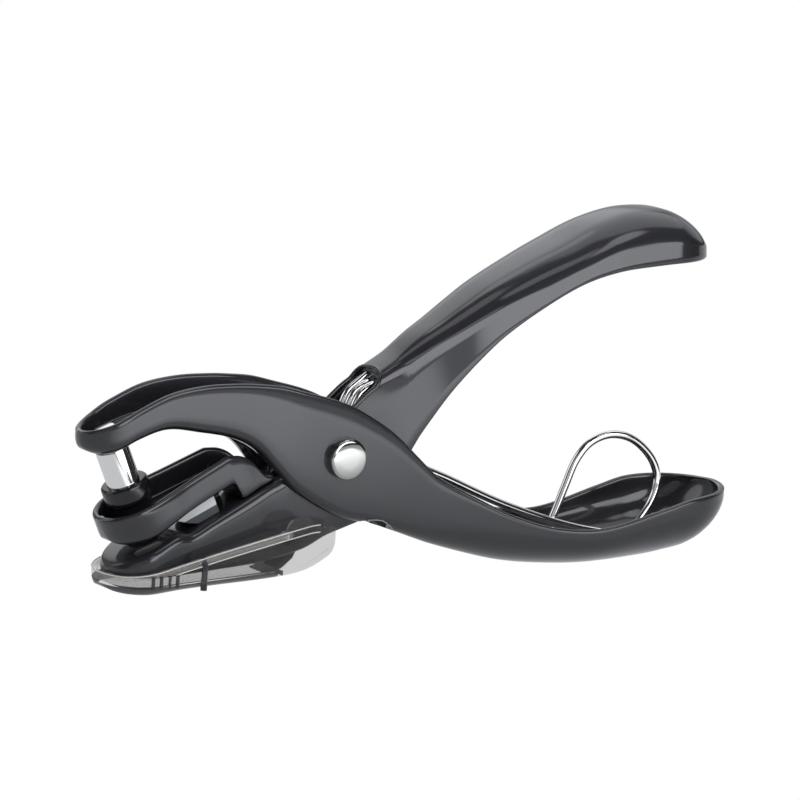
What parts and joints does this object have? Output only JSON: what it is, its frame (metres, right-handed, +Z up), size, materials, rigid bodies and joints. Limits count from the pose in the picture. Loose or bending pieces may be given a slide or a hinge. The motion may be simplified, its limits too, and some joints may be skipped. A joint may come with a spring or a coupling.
{
  "type": "hole_punch",
  "caption": "Hand plier single hole punch with black pressed levers, chrome pin, wire return spring and smoked chip tray",
  "frame": {"origin": "middle of the bounding box on the table", "axes": "+X from the nose to the handle ends, +Y to the far side, +Z up"},
  "size_m": [0.1378, 0.024, 0.066],
  "materials": {
    "black_coat": "gloss",
    "dark_steel": "satin",
    "grey_plate": "satin",
    "chrome": "polished",
    "smoke_clear": "smoked clear plastic"
  },
  "bodies": {
    "handle_body": {"handle_lever": "black_coat", "punch_guide": "black_coat", "guide_bush": "dark_steel", "paper_stop": "grey_plate"},
    "jaw_body": {"jaw_lever": "black_coat", "pivot_rivet": "chrome", "return_spring": "chrome"},
    "pin_body": {"punch_pin": "chrome"},
    "tray_body": {"chip_tray": "smoke_clear"}
  },
  "joints": [
    {"name": "lever_pivot", "type": "hinge", "parent": "handle_body", "child": "jaw_body", "pos_m": [-0.01745, 0, 0.02369], "axis": [0, -1, 0], "range_deg": [0, 6], "stiffness_Nm_per_rad": 0.8, "springref_deg": -14.32, "deforming": ["return_spring"]},
    {"name": "punch_slide", "type": "slide", "parent": "handle_body", "child": "pin_body", "axis": [0.4067, 0, -0.9135], "range_m": [0, 0.0043]},
    {"name": "tray_hinge", "type": "hinge", "parent": "handle_body", "child": "tray_body", "pos_m": [-0.02785, 0, 0.00939], "axis": [0, -1, 0], "range_deg": [0, 18]}
  ],
  "couplings": [
    {"joint": "punch_slide", "follows": "lever_pivot", "m_per_rad": 0.0394}
  ]
}
